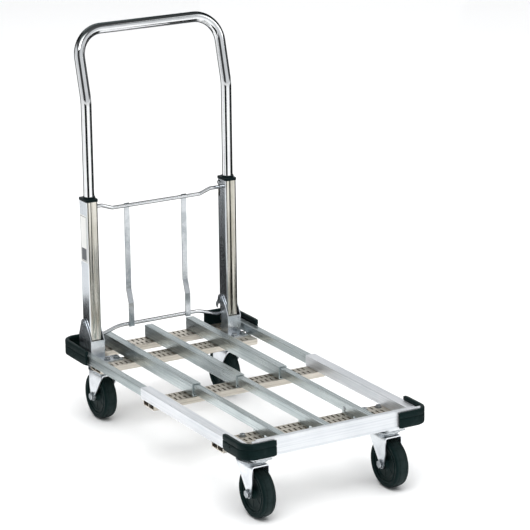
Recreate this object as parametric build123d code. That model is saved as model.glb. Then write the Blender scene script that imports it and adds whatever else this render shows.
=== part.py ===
from build123d import *
import math
import os

# Folding luggage cart with a telescoping deck, fold-down posts and a telescoping push handle.
# Millimetres. X runs across the cart, Y along it with the handle at +Y, Z up from the floor.
# The origin is the middle of the footprint, on the floor. Left is -X, seen from the front.

# ---- Driving dimensions ----
DECK_HALF_LENGTH = 386.0
DECK_HALF_WIDTH = 206.0
RELEASE_TRAVEL = 15.0

# Side rails: the front pair are sleeves that slide over the rear pair
SLEEVE_X = 190.5
SLEEVE_WIDTH = 22.0
SLEEVE_BOTTOM = 136.0
SLEEVE_HEIGHT = 23.0
SLEEVE_WALL = 2.6
SLEEVE_FRONT = -364.0
SLEEVE_REAR = 34.0
SLIDE_GAP = 0.3
GROOVE_WIDTH = 1.2
GROOVE_DEPTH = 0.4
INNER_RAIL_FRONT = -115.0
INNER_RAIL_REAR = 370.0
INNER_RAIL_WALL = 2.0

# Deck bars: the rear three are sleeves for the front three
BAR_X = (-99.5, 0.0, 99.5)
BAR_NAMES = ("left", "middle", "right")
BAR_WIDTH = 18.6
BAR_BOTTOM = 135.7
BAR_TOP = 162.0
BAR_WALL = 2.0
BAR_FRONT = -10.0
BAR_REAR = 381.0
EXTENSION_WIDTH = 14.0
EXTENSION_BOTTOM = 141.2
EXTENSION_TOP = 159.6
EXTENSION_REAR = 130.0
EXTENSION_WALL = 1.8

# Cross members: flat two-chamber extrusions under the deck, with grip slots in the top
CROSS_HALF_LENGTH = 197.0
REAR_CROSS_HALF_LENGTH = 186.0
CROSS_DEPTH = 45.0
CROSS_BOTTOM = 123.0
CROSS_WALL = 2.0
FRONT_CROSS_Y = -267.5
MID_CROSS_Y = 9.5
HINGE_CROSS_Y = 263.5
REAR_CROSS_Y = 359.5
SLOT_PITCH = 11.0
SLOT_WIDTH = 4.0
SLOT_LENGTH = 14.0
SLOT_HALF_COUNT = 15

# Front end rail
END_RAIL_FACE = -380.0
END_RAIL_WALL = 3.0
END_RAIL_TOP = 172.0
END_RAIL_HALF_LENGTH = 186.0
EXTENSION_FRONT = END_RAIL_FACE + END_RAIL_WALL
BAR_SCREW_SIDES = (1, 1, -1)
BAR_SCREW_Y = -255.0
BAR_SCREW_Z = 147.0
DOME_HEIGHT = 1.6
CORNER_BLOCK_X = (129.0, 167.0)
CORNER_BLOCK_Y = (-358.0, -326.0)

# Corner bumpers
BUMPER_BOTTOM = 136.0
BUMPER_TOP = 168.0
BUMPER_WALL = 9.0
BUMPER_CORNER_RADIUS = 30.0
BUMPER_INNER_X = 136.0
FRONT_BUMPER_LENGTH = 84.0
REAR_BUMPER_LENGTH = 115.0

# Posts and hinge
POST_X = 162.3
POST_WIDTH = 25.6
POST_FRONT = 302.5
POST_REAR = 338.5
POST_BOTTOM = 157.0
POST_TOP = 475.0
POST_WALL = 1.5
POST_FRONT_WALL = 2.5
POST_FRONT_CORNER = 5.0
POST_REAR_CORNER = 2.5
POST_HOLLOW_RADIUS = 16.0
POST_HOLLOW_DEPTH = 0.8
PIVOT_Y = 330.0
PIVOT_Z = 207.0
PIVOT_RADIUS = 4.0
BUSH_RADIUS = 6.0
EAR_INNER = (146.4, 148.4)
EAR_OUTER = (176.2, 178.2)
FOOT_PLATE_Y = (297.5, 300.0)
FOOT_PLATE_TOP = 176.0
FLANGE_THICKNESS = 3.0
CAP_BOTTOM = 471.5
CAP_TOP = 477.0
COLLAR_TOP = 481.0

# Handle
TUBE_RADIUS = 11.0
TUBE_WALL = 1.5
TUBE_Y = 318.0
TUBE_BOTTOM = 408.0
HANDLE_BEND_Z = 680.0
HANDLE_TOP_Z = 817.0
HANDLE_LEAN = 15.0
HANDLE_BEND_RADIUS = 90.0
HANDLE_CORNER_RADIUS = 55.0

# Release frame: two rods joined by two straps, sliding in slots in the posts
ROD_RADIUS = 3.8
ROD_Y = 333.0
ROD_END_X = 152.5
UPPER_ROD_Z = 453.0
LOWER_ROD_Z = 175.0
STRAP_X = 67.0
STRAP_WIDTH = 12.0
STRAP_THICKNESS = 2.4

# Handle lock button in the inner wall of each post
BUTTON_Y = 331.5
BUTTON_Z = 463.8
BUTTON_RADIUS = 3.8

# Casters
WHEEL_RADIUS = 50.0
TYRE_WIDTH = 28.0
CASTER_X = 148.0
CASTER_FRONT_Y = -315.0
CASTER_REAR_Y = 303.0
CASTER_TRAIL = 16.0
PLATE_BOTTOM = 120.0
RACE_RADIUS = 32.0
RACE_NECK_RADIUS = 24.0
RACE_RING_BOTTOM = 112.0
RACE_RING_TOP = 115.0
KINGPIN_RADIUS = 6.0
FRONT_PLATE_OUTLINE = (
    (122.0, -250.0),
    (180.0, -250.0),
    (180.0, -300.0),
    (167.0, -358.0),
    (129.0, -358.0),
    (122.0, -300.0),
)
REAR_PLATE_OUTLINE = ((117.0, 256.0), (180.0, 256.0), (180.0, 362.0), (117.0, 362.0))
AXLE_RADIUS = 5.0
RUNNING_GAP = 0.06

# Fastener places, as (x, y) on the right side
BRACKET_BOLTS = ((130.0, 279.0), (151.0, 279.0), (171.0, 279.0))
REAR_PLATE_BOLTS = ((125.0, 352.0), (164.0, 352.0))
FRONT_PLATE_BOLTS = ((137.0, -258.0), (169.0, -258.0))
CORNER_BLOCK_BOLTS = ((138.0, -350.0), (158.0, -350.0))
BOLT_RADIUS = 3.0
BOLT_GAP = 0.1

os.makedirs("parts", exist_ok=True)


def save(name, shape):
    """Write one sub-part to its own file."""
    export_step(shape, f"parts/{name}.step")


def group(solids):
    """Gather separate solids into one shape."""
    return Compound(children=list(solids))


def block(x, y, z):
    """A box between two places along each axis."""
    size = (x[1] - x[0], y[1] - y[0], z[1] - z[0])
    centre = ((x[0] + x[1]) / 2, (y[0] + y[1]) / 2, (z[0] + z[1]) / 2)
    return Pos(*centre) * Box(*size)


def rod_z(x, y, z, radius):
    """An upright cylinder between two heights."""
    return Pos(x, y, (z[0] + z[1]) / 2) * Cylinder(radius, z[1] - z[0])


def rod_x(x, y, z, radius):
    """A cylinder along X between two places."""
    return Pos((x[0] + x[1]) / 2, y, z) * Rot(0, 90, 0) * Cylinder(radius, x[1] - x[0])


def flip(shape):
    """The same shape on the other side of the cart."""
    return mirror(shape, about=Plane.YZ)


def both_sides(solids):
    """The solids and their mirror images, as one group."""
    solids = list(solids)
    return group(solids + [flip(solid) for solid in solids])


def tube_along_y(x, y, z, wall):
    """A rectangular tube along Y, open at both ends, with softened outer edges."""
    outer = block(x, y, z)
    outer = fillet(outer.edges().filter_by(Axis.Y), 1.2)
    hollow = block((x[0] + wall, x[1] - wall), (y[0] - 1, y[1] + 1), (z[0] + wall, z[1] - wall))
    return outer - hollow


def grooved(tube, sides, top, top_places, side_heights):
    """Shallow lengthwise grooves in the top and in both side faces of a tube along Y."""
    length = (-DECK_HALF_LENGTH, DECK_HALF_LENGTH)
    for x in top_places:
        groove_x = (x - GROOVE_WIDTH / 2, x + GROOVE_WIDTH / 2)
        tube -= block(groove_x, length, (top - GROOVE_DEPTH, top + 1))
    for z in side_heights:
        groove_z = (z - GROOVE_WIDTH / 2, z + GROOVE_WIDTH / 2)
        for x in sides:
            tube -= block((x - GROOVE_DEPTH, x + GROOVE_DEPTH), length, groove_z)
    return tube


def side_plate(points, x):
    """A flat plate across X, with its outline given as (y, z) points."""
    outline = Plane.YZ * Polyline(*points, close=True)
    plate = extrude(make_face(outline), amount=x[1] - x[0], dir=(1, 0, 0))
    return Pos(x[0], 0, 0) * plate


# ---- Side rails ----
def side_rails():
    """Rear rails and the front sleeves that slide over them."""
    sleeve_x = (SLEEVE_X - SLEEVE_WIDTH / 2, SLEEVE_X + SLEEVE_WIDTH / 2)
    sleeve_z = (SLEEVE_BOTTOM, SLEEVE_BOTTOM + SLEEVE_HEIGHT)
    sleeve = tube_along_y(sleeve_x, (SLEEVE_FRONT, SLEEVE_REAR), sleeve_z, SLEEVE_WALL)
    sleeve = grooved(sleeve, sleeve_x, sleeve_z[1], (SLEEVE_X - 6.5, SLEEVE_X + 6.5), (SLEEVE_BOTTOM + 5.5,))
    save("front_side_rail_right", sleeve)
    save("front_side_rail_left", flip(sleeve))

    inset = SLEEVE_WALL + SLIDE_GAP
    rail_x = (sleeve_x[0] + inset, sleeve_x[1] - inset)
    rail_z = (sleeve_z[0] + inset, sleeve_z[1] - inset)
    rail = tube_along_y(rail_x, (INNER_RAIL_FRONT, INNER_RAIL_REAR), rail_z, INNER_RAIL_WALL)
    side_grooves = (rail_z[0] + 4.5, rail_z[1] - 4.5, rail_z[1] - 7.5)
    rail = grooved(rail, rail_x, rail_z[1], (SLEEVE_X - 4.5, SLEEVE_X + 4.5), side_grooves)
    save("rear_side_rail_right", rail)
    save("rear_side_rail_left", flip(rail))

    pad_x = (rail_x[0] + 0.2, REAR_CROSS_HALF_LENGTH - 0.2)
    spacers = [block(pad_x, y, (BAR_BOTTOM, rail_z[0])) for y in ((268.0, 285.0), (340.0, 362.0))]
    save("rail_spacers", both_sides(spacers))


# ---- Deck bars ----
def deck_bars():
    """Rear bars, front extension bars, their feet and the glides in the mouths."""
    feet = []
    glides = []
    for name, centre, side in zip(BAR_NAMES, BAR_X, BAR_SCREW_SIDES):
        bar_x = (centre - BAR_WIDTH / 2, centre + BAR_WIDTH / 2)
        bar = tube_along_y(bar_x, (BAR_FRONT, BAR_REAR), (BAR_BOTTOM, BAR_TOP), BAR_WALL)
        bar = grooved(bar, bar_x, BAR_TOP, (centre - 5.4, centre + 5.4), (BAR_TOP - 6.0,))
        save(f"deck_bar_{name}", bar)

        extension_x = (centre - EXTENSION_WIDTH / 2, centre + EXTENSION_WIDTH / 2)
        extension = tube_along_y(
            extension_x,
            (EXTENSION_FRONT, EXTENSION_REAR),
            (EXTENSION_BOTTOM, EXTENSION_TOP),
            EXTENSION_WALL,
        )
        extension = grooved(extension, extension_x, EXTENSION_TOP, (centre - 3.2, centre + 3.2), ())
        face = centre + side * EXTENSION_WIDTH / 2
        extension -= rod_x((face - 3, face + 3), BAR_SCREW_Y, BAR_SCREW_Z, 2.1)
        save(f"extension_bar_{name}", extension)

        flange_top = SLEEVE_BOTTOM + END_RAIL_WALL
        feet.append(block(extension_x, (-288.0, -247.0), (SLEEVE_BOTTOM, EXTENSION_BOTTOM)))
        feet.append(block(extension_x, (EXTENSION_FRONT, -338.0), (flange_top, EXTENSION_BOTTOM)))
        glide_z = (BAR_BOTTOM + BAR_WALL, EXTENSION_BOTTOM - SLIDE_GAP)
        glides.append(block(extension_x, (BAR_FRONT, BAR_FRONT + 30), glide_z))
    save("extension_bar_feet", group(feet))
    save("bar_glides", group(glides))


# ---- Cross members ----
def cross_section_bar(x, y, z):
    """A flat two-chamber extrusion along X, open at its ends."""
    bar = block(x, y, z)
    bar = fillet(bar.edges().filter_by(Axis.X), 1.0)
    middle = (y[0] + y[1]) / 2
    through = (x[0] - 1, x[1] + 1)
    chamber_z = (z[0] + CROSS_WALL, z[1] - CROSS_WALL)
    bar -= block(through, (y[0] + CROSS_WALL, middle - CROSS_WALL / 2), chamber_z)
    bar -= block(through, (middle + CROSS_WALL / 2, y[1] - CROSS_WALL), chamber_z)
    return bar


def cross_member(centre, top, half_length):
    """A full-width member with two rows of grip slots cut into its chambers."""
    y = (centre - CROSS_DEPTH / 2, centre + CROSS_DEPTH / 2)
    member = cross_section_bar((-half_length, half_length), y, (CROSS_BOTTOM, top))
    slots = []
    for index in range(-SLOT_HALF_COUNT, SLOT_HALF_COUNT + 1):
        x = index * SLOT_PITCH
        for row in (centre - CROSS_DEPTH / 4, centre + CROSS_DEPTH / 4):
            y_span = (row - SLOT_LENGTH / 2, row + SLOT_LENGTH / 2)
            x_span = (x - SLOT_WIDTH / 2, x + SLOT_WIDTH / 2)
            slots.append(block(x_span, y_span, (top - CROSS_WALL - 1, top + 1)))
    return member - slots


def bolt_holes(shape, places, radius=BOLT_RADIUS + BOLT_GAP):
    """Holes for upright bolts at (x, y) places, on both sides."""
    for x, y in places:
        for side in (-1, 1):
            shape -= rod_z(side * x, y, (100.0, 180.0), radius)
    return shape


def cross_members():
    """The four cross members and the two short corner blocks at the front."""
    front = cross_member(FRONT_CROSS_Y, SLEEVE_BOTTOM, CROSS_HALF_LENGTH)
    save("front_cross_member", bolt_holes(front, FRONT_PLATE_BOLTS))
    save("mid_cross_member", cross_member(MID_CROSS_Y, BAR_BOTTOM, CROSS_HALF_LENGTH))
    hinge_member = cross_member(HINGE_CROSS_Y, BAR_BOTTOM, REAR_CROSS_HALF_LENGTH)
    save("hinge_cross_member", bolt_holes(hinge_member, BRACKET_BOLTS))
    rear = cross_member(REAR_CROSS_Y, BAR_BOTTOM, REAR_CROSS_HALF_LENGTH)
    save("rear_cross_member", bolt_holes(rear, REAR_PLATE_BOLTS))
    corner = cross_section_bar(CORNER_BLOCK_X, CORNER_BLOCK_Y, (CROSS_BOTTOM, SLEEVE_BOTTOM))
    for x, y in CORNER_BLOCK_BOLTS:
        corner -= rod_z(x, y, (100.0, 180.0), BOLT_RADIUS + BOLT_GAP)
    save("front_corner_blocks", both_sides([corner]))


def front_end_rail():
    """Upright front rail with a small top lip and a wide bottom flange."""
    face = (END_RAIL_FACE, END_RAIL_FACE + END_RAIL_WALL)
    span = (-END_RAIL_HALF_LENGTH, END_RAIL_HALF_LENGTH)
    rail = block(span, face, (SLEEVE_BOTTOM, END_RAIL_TOP))
    rail += block((-176.0, 176.0), (face[0], face[1] + 5), (END_RAIL_TOP - 2.5, END_RAIL_TOP))
    rail += block((-178.0, 178.0), (face[0], -336.0), (SLEEVE_BOTTOM, SLEEVE_BOTTOM + END_RAIL_WALL))
    rail = fillet(rail.edges().filter_by(Axis.X).group_by(Axis.Y)[0], 1.0)
    save("front_end_rail", bolt_holes(rail, CORNER_BLOCK_BOLTS))


# ---- Bumpers ----
def bumper(end_y, length, rail_x, rail_end, rail_z, has_web):
    """A rubber guard round the right-hand corner at end_y, with pockets for the rails it covers."""
    inward = -1.0 if end_y > 0 else 1.0
    side_end = end_y + inward * length
    y_span = sorted((end_y, side_end))
    z_span = (BUMPER_BOTTOM, BUMPER_TOP)
    guard = block((BUMPER_INNER_X, DECK_HALF_WIDTH), y_span, z_span)
    outer_corner = Vector(DECK_HALF_WIDTH, end_y, BUMPER_BOTTOM)
    guard = fillet(guard.edges().filter_by(Axis.Z).sort_by_distance(outer_corner)[0], BUMPER_CORNER_RADIUS)
    wall_y = end_y + inward * BUMPER_WALL
    inner_y = sorted((wall_y, side_end + inward))
    core_x = (BUMPER_INNER_X - 1, DECK_HALF_WIDTH - BUMPER_WALL)
    core = block(core_x, inner_y, (BUMPER_BOTTOM - 1, BUMPER_TOP + 1))
    inner_corner = Vector(DECK_HALF_WIDTH - BUMPER_WALL, wall_y, BUMPER_BOTTOM)
    guard -= fillet(core.edges().filter_by(Axis.Z).sort_by_distance(inner_corner)[0], 16.0)
    rim = guard.faces().sort_by(Axis.Z)[-1].edges()
    guard = fillet(rim, 1.6)
    pocket_y = sorted((rail_end - inward * 0.2, side_end + inward))
    guard -= block((rail_x[0], rail_x[1] + 0.2), pocket_y, (rail_z[0] - 0.2, rail_z[1] + 0.2))
    if has_web:
        web_y = (END_RAIL_FACE - 0.2, END_RAIL_FACE + END_RAIL_WALL + 1)
        guard -= block((0, END_RAIL_HALF_LENGTH + 0.2), web_y, (BUMPER_BOTTOM - 1, END_RAIL_TOP + 1))
    return guard


def screw_seat(y):
    """The counterbored hole for a bumper screw on the right side."""
    return rod_x((190.0, 210.0), y, 151.0, 2.1) + rod_x((DECK_HALF_WIDTH - 1.7, 210.0), y, 151.0, 4.0)


def bumpers():
    """Four corner guards: longer side legs at the rear."""
    sleeve_x = (SLEEVE_X - SLEEVE_WIDTH / 2, SLEEVE_X + SLEEVE_WIDTH / 2)
    sleeve_z = (SLEEVE_BOTTOM, SLEEVE_BOTTOM + SLEEVE_HEIGHT)
    inset = SLEEVE_WALL + SLIDE_GAP
    rail_x = (sleeve_x[0] + inset, sleeve_x[1] - inset)
    rail_z = (sleeve_z[0] + inset, sleeve_z[1] - inset)
    front = bumper(-DECK_HALF_LENGTH, FRONT_BUMPER_LENGTH, sleeve_x, SLEEVE_FRONT, sleeve_z, True)
    rear = bumper(DECK_HALF_LENGTH, REAR_BUMPER_LENGTH, rail_x, INNER_RAIL_REAR, rail_z, False)
    front -= screw_seat(-330.0)
    rear -= screw_seat(319.0)
    save("front_bumper_right", front)
    save("front_bumper_left", flip(front))
    save("rear_bumper_right", rear)
    save("rear_bumper_left", flip(rear))


# ---- Fasteners ----
def bolt(x, y, seat, bottom):
    """A hex bolt with a washer, its head on a face at height seat."""
    head = Pos(x, y, seat + 1.0) * extrude(RegularPolygon(5.8, 6), 4.0)
    head = chamfer(head.faces().sort_by(Axis.Z)[-1].edges(), 0.6)
    return head + rod_z(x, y, (seat, seat + 1.0), 6.6) + rod_z(x, y, (bottom, seat), BOLT_RADIUS)


def dome_screw_x(x, y, z, head_radius=3.9):
    """A dome-headed screw pressed in from the right side."""
    head = Pos(x - DOME_HEIGHT / 2, y, z) * Rot(0, 90, 0) * Cone(head_radius, head_radius - 1.3, DOME_HEIGHT)
    return head + rod_x((x - 4.3, x - 1.0), y, z, 2.0)


def fasteners():
    """Bolts that hold the brackets, caster plates, bars and bumpers."""
    rear = [bolt(x, y, BAR_BOTTOM + FLANGE_THICKNESS, PLATE_BOTTOM) for x, y in BRACKET_BOLTS]
    rear += [bolt(x, y, BAR_BOTTOM, PLATE_BOTTOM) for x, y in REAR_PLATE_BOLTS]
    rear.append(dome_screw_x(DECK_HALF_WIDTH, 319.0, 151.0))
    save("rear_fasteners", both_sides(rear))
    front = [bolt(x, y, SLEEVE_BOTTOM, PLATE_BOTTOM) for x, y in FRONT_PLATE_BOLTS]
    front += [bolt(x, y, SLEEVE_BOTTOM + END_RAIL_WALL, PLATE_BOTTOM) for x, y in CORNER_BLOCK_BOLTS]
    front.append(dome_screw_x(DECK_HALF_WIDTH, -330.0, 151.0))
    front += [flip(piece) for piece in front]
    for centre, side in zip(BAR_X, BAR_SCREW_SIDES):
        top_of_dome = side * centre + EXTENSION_WIDTH / 2 + DOME_HEIGHT
        screw = dome_screw_x(top_of_dome, BAR_SCREW_Y, BAR_SCREW_Z, head_radius=4.8)
        front.append(screw if side > 0 else flip(screw))
    save("front_fasteners", group(front))


# ---- Hinge brackets ----
def hinge_bracket():
    """A bent steel foot: base flange, foot plate and two ears that hold the pivot pin."""
    base_z = (BAR_BOTTOM, BAR_BOTTOM + FLANGE_THICKNESS)
    foot_y = FOOT_PLATE_Y
    bracket = block((120.0, 179.0), (268.0, foot_y[1]), base_z)
    bracket += block((EAR_INNER[0], EAR_OUTER[1]), foot_y, (BAR_BOTTOM, FOOT_PLATE_TOP))
    outer_ear = side_plate(
        [
            (foot_y[0], BAR_BOTTOM),
            (foot_y[0], FOOT_PLATE_TOP),
            (PIVOT_Y - 24, PIVOT_Z - 14),
            (PIVOT_Y - 10, PIVOT_Z + 4),
            (PIVOT_Y + 10, PIVOT_Z + 4),
            (PIVOT_Y + 22, PIVOT_Z - 26),
            (PIVOT_Y + 22, BAR_BOTTOM),
        ],
        EAR_OUTER,
    )
    outer_ear += rod_x(EAR_OUTER, PIVOT_Y, PIVOT_Z, 10.5)
    inner_ear = side_plate(
        [
            (foot_y[0], BAR_BOTTOM),
            (foot_y[0], FOOT_PLATE_TOP),
            (PIVOT_Y - 24, PIVOT_Z - 14),
            (PIVOT_Y - 10, PIVOT_Z + 4),
            (PIVOT_Y + 10, PIVOT_Z - 2),
            (PIVOT_Y + 19, PIVOT_Z - 13),
            (PIVOT_Y + 19, PIVOT_Z - 19),
            (PIVOT_Y + 14, PIVOT_Z - 23),
            (PIVOT_Y + 11, PIVOT_Z - 14),
            (PIVOT_Y + 3, PIVOT_Z - 10),
            (PIVOT_Y - 4, PIVOT_Z - 16),
            (PIVOT_Y - 4, BAR_BOTTOM),
        ],
        EAR_INNER,
    )
    inner_ear += rod_x(EAR_INNER, PIVOT_Y, PIVOT_Z, 10.5)
    bracket += outer_ear
    bracket += inner_ear
    bracket -= rod_x((EAR_INNER[0] - 1, EAR_OUTER[1] + 1), PIVOT_Y, PIVOT_Z, PIVOT_RADIUS + 0.02)
    for x, y in BRACKET_BOLTS:
        bracket -= rod_z(x, y, (BAR_BOTTOM - 1, BAR_BOTTOM + 10), BOLT_RADIUS + BOLT_GAP)
    return bracket


def hinge():
    """Brackets, pivot pins and the flanged bushes in the posts."""
    bracket = hinge_bracket()
    save("hinge_bracket_right", bracket)
    save("hinge_bracket_left", flip(bracket))
    pin = rod_x((EAR_INNER[0] - 2, EAR_OUTER[1] + 2), PIVOT_Y, PIVOT_Z, PIVOT_RADIUS)
    pin += rod_x((EAR_OUTER[1], EAR_OUTER[1] + 2.4), PIVOT_Y, PIVOT_Z, 6.5)
    pin += rod_x((EAR_INNER[0] - 2.4, EAR_INNER[0]), PIVOT_Y, PIVOT_Z, 6.5)
    save("pivot_pins", both_sides([pin]))
    faces = (POST_X - POST_WIDTH / 2, POST_X + POST_WIDTH / 2)
    inner_bush = rod_x((faces[0], faces[0] + 5), PIVOT_Y, PIVOT_Z, BUSH_RADIUS)
    inner_bush += rod_x((faces[0] - 0.9, faces[0]), PIVOT_Y, PIVOT_Z, 10.0)
    outer_bush = rod_x((faces[1] - 5, faces[1]), PIVOT_Y, PIVOT_Z, BUSH_RADIUS)
    outer_bush += rod_x((faces[1], faces[1] + 0.9), PIVOT_Y, PIVOT_Z, 10.0)
    bore = rod_x((100.0, 200.0), PIVOT_Y, PIVOT_Z, PIVOT_RADIUS + RUNNING_GAP)
    save("pivot_bushes", both_sides([inner_bush - bore, outer_bush - bore]))


# ---- Posts ----
def rounded_post(shape, extra=0.0):
    """A box with the post's corners: wide ones at the front, small ones at the back."""
    upright = shape.edges().filter_by(Axis.Z).group_by(Axis.Y)
    shape = fillet(upright[0], POST_FRONT_CORNER + extra)
    return fillet(shape.edges().filter_by(Axis.Z).group_by(Axis.Y)[-1], POST_REAR_CORNER + extra)


def post():
    """A hollow aluminium post with a hollowed front face and slots for the release rods."""
    x = (POST_X - POST_WIDTH / 2, POST_X + POST_WIDTH / 2)
    z = (POST_BOTTOM, POST_TOP)
    body = rounded_post(block(x, (POST_FRONT, POST_REAR), z))
    cavity_x = (x[0] + POST_WALL, x[1] - POST_WALL)
    cavity_y = (POST_FRONT + POST_FRONT_WALL, POST_REAR - POST_WALL)
    body -= block(cavity_x, cavity_y, (z[0] - 1, z[1] + 1))
    hollow_y = POST_FRONT + POST_HOLLOW_DEPTH - POST_HOLLOW_RADIUS
    body -= rod_z(POST_X, hollow_y, (z[0] - 1, z[1] + 1), POST_HOLLOW_RADIUS)
    body -= rod_x((x[0] - 1, x[1] + 1), PIVOT_Y, PIVOT_Z, BUSH_RADIUS)
    for rod_height in (LOWER_ROD_Z, UPPER_ROD_Z):
        slot_z = (rod_height - ROD_RADIUS - RELEASE_TRAVEL - SLIDE_GAP, rod_height + ROD_RADIUS + SLIDE_GAP)
        slot_y = (ROD_Y - ROD_RADIUS - SLIDE_GAP, POST_REAR - POST_WALL)
        body -= block((x[0] - 1, cavity_x[0] + 0.1), slot_y, slot_z)
    return body - rod_x((x[0] - 1, cavity_x[0] + 0.1), BUTTON_Y, BUTTON_Z, BUTTON_RADIUS + SLIDE_GAP)


def post_cap():
    """A plastic cap over the top of the post, with a raised collar round the handle tube."""
    x = (POST_X - POST_WIDTH / 2, POST_X + POST_WIDTH / 2)
    cap = block((x[0] - 1, x[1] + 1), (POST_FRONT - 1.2, POST_REAR + 1.2), (CAP_BOTTOM, CAP_TOP))
    cap = rounded_post(cap, 0.8)
    cap = fillet(cap.faces().sort_by(Axis.Z)[-1].edges(), 1.5)
    cap -= rounded_post(block(x, (POST_FRONT, POST_REAR), (CAP_BOTTOM - 1, POST_TOP)))
    collar = Pos(POST_X, TUBE_Y, (CAP_TOP + COLLAR_TOP) / 2) * Cone(13.4, 12.6, COLLAR_TOP - CAP_TOP)
    cap += collar
    return cap - rod_z(POST_X, TUBE_Y, (POST_TOP - 1, COLLAR_TOP + 1), TUBE_RADIUS + RUNNING_GAP)


def lock_button():
    """A round push button in the inner wall of the right post, with a flange that keeps it in."""
    wall = POST_X - POST_WIDTH / 2
    button = rod_x((wall - 3.2, wall + POST_WALL + 0.3), BUTTON_Y, BUTTON_Z, BUTTON_RADIUS)
    button = fillet(button.faces().sort_by(Axis.X)[0].edges(), 1.0)
    flange_x = (wall + POST_WALL + 0.3, wall + POST_WALL + 1.3)
    return button + rod_x(flange_x, BUTTON_Y, BUTTON_Z, BUTTON_RADIUS + 0.9)


def posts():
    """Posts, caps, a blank label and the handle lock buttons."""
    right_post = post()
    right_cap = post_cap()
    save("post_right", right_post)
    save("post_left", flip(right_post))
    save("post_cap_right", right_cap)
    save("post_cap_left", flip(right_cap))
    outer = -(POST_X + POST_WIDTH / 2)
    save("post_label", block((outer - 0.4, outer), (306.0, 336.0), (342.0, 442.0)))
    button = lock_button()
    save("handle_lock_button_right", button)
    save("handle_lock_button_left", flip(button))


# ---- Handle ----
def handle():
    """One bent tube with both legs in the posts, and the plugs that guide its ends."""
    lean = math.tan(math.radians(HANDLE_LEAN))
    top_y = TUBE_Y + (HANDLE_TOP_Z - HANDLE_BEND_Z) * lean
    path = FilletPolyline(
        (-POST_X, TUBE_Y, TUBE_BOTTOM),
        (-POST_X, TUBE_Y, HANDLE_BEND_Z),
        (-POST_X, top_y, HANDLE_TOP_Z),
        (POST_X, top_y, HANDLE_TOP_Z),
        (POST_X, TUBE_Y, HANDLE_BEND_Z),
        (POST_X, TUBE_Y, TUBE_BOTTOM),
        radius=[HANDLE_BEND_RADIUS, HANDLE_CORNER_RADIUS, HANDLE_CORNER_RADIUS, HANDLE_BEND_RADIUS],
    )
    section = Plane((-POST_X, TUBE_Y, TUBE_BOTTOM)) * (Circle(TUBE_RADIUS) - Circle(TUBE_RADIUS - TUBE_WALL))
    save("handle_tube", sweep(section, path=path))
    cavity_x = (POST_X - POST_WIDTH / 2 + POST_WALL, POST_X + POST_WIDTH / 2 - POST_WALL)
    cavity_y = (POST_FRONT + POST_FRONT_WALL, POST_REAR - POST_WALL)
    plug = block(
        (cavity_x[0] + SLIDE_GAP, cavity_x[1] - SLIDE_GAP),
        (cavity_y[0] + SLIDE_GAP, cavity_y[1] - SLIDE_GAP),
        (TUBE_BOTTOM - 6, TUBE_BOTTOM),
    )
    plug += rod_z(POST_X, TUBE_Y, (TUBE_BOTTOM, TUBE_BOTTOM + 18), TUBE_RADIUS - TUBE_WALL - 0.05)
    save("handle_glides", both_sides([plug]))


# ---- Release frame ----
def bent_rod(points, radii):
    """A round rod along straight runs joined by arcs."""
    path = FilletPolyline(*points, radius=radii)
    start = Vector(*points[0])
    heading = Vector(*points[1]) - start
    return sweep(Plane(origin=start, z_dir=heading) * Circle(ROD_RADIUS), path=path)


def release_frame():
    """Upper and lower rods with cranked ends, and the two joggled straps between them."""
    upper = [(-ROD_END_X, UPPER_ROD_Z), (-127.0, UPPER_ROD_Z), (-103.0, UPPER_ROD_Z - 8.5)]
    lower = [(-ROD_END_X, LOWER_ROD_Z), (-138.0, LOWER_ROD_Z), (-95.0, 188.5)]
    for name, half, radii in (("upper", upper, [14, 14]), ("lower", lower, [40, 80])):
        left = [(x, ROD_Y, z) for x, z in half]
        right = [(-x, ROD_Y, z) for x, z in reversed(half)]
        save(f"release_rod_{name}", bent_rod(left + right, radii + radii[::-1]))
    back = ROD_Y + ROD_RADIUS
    front = ROD_Y - ROD_RADIUS - STRAP_THICKNESS
    outline = [
        (back + STRAP_THICKNESS, UPPER_ROD_Z - 4.5),
        (back + STRAP_THICKNESS, 263.0),
        (front + STRAP_THICKNESS, 234.0),
        (front + STRAP_THICKNESS, 183.0),
        (front, 183.0),
        (front, 234.0),
        (back, 263.0),
        (back, UPPER_ROD_Z - 4.5),
    ]
    strap = side_plate(outline, (STRAP_X - STRAP_WIDTH / 2, STRAP_X + STRAP_WIDTH / 2))
    save("release_strap_right", strap)
    save("release_strap_left", flip(strap))


# ---- Casters ----
def caster_plate(centre_y, outline, bolts):
    """A steel mounting plate with the upper half of the swivel bearing under it."""
    face = make_face(Plane.XY.offset(PLATE_BOTTOM) * Polyline(*outline, close=True))
    plate = extrude(face, amount=CROSS_BOTTOM - PLATE_BOTTOM, dir=(0, 0, 1))
    plate = fillet(plate.edges().filter_by(Axis.Z), 5.0)
    plate += rod_z(CASTER_X, centre_y, (RACE_RING_TOP - 0.5, PLATE_BOTTOM), RACE_NECK_RADIUS)
    ring = rod_z(CASTER_X, centre_y, (RACE_RING_BOTTOM, RACE_RING_TOP), RACE_RADIUS)
    plate += fillet(ring.edges().group_by(Axis.Z)[0], 1.0)
    plate -= rod_z(CASTER_X, centre_y, (100.0, 130.0), KINGPIN_RADIUS + RUNNING_GAP)
    for x, y in bolts:
        plate -= rod_z(x, y, (100.0, 130.0), BOLT_RADIUS + BOLT_GAP)
    return plate


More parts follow.
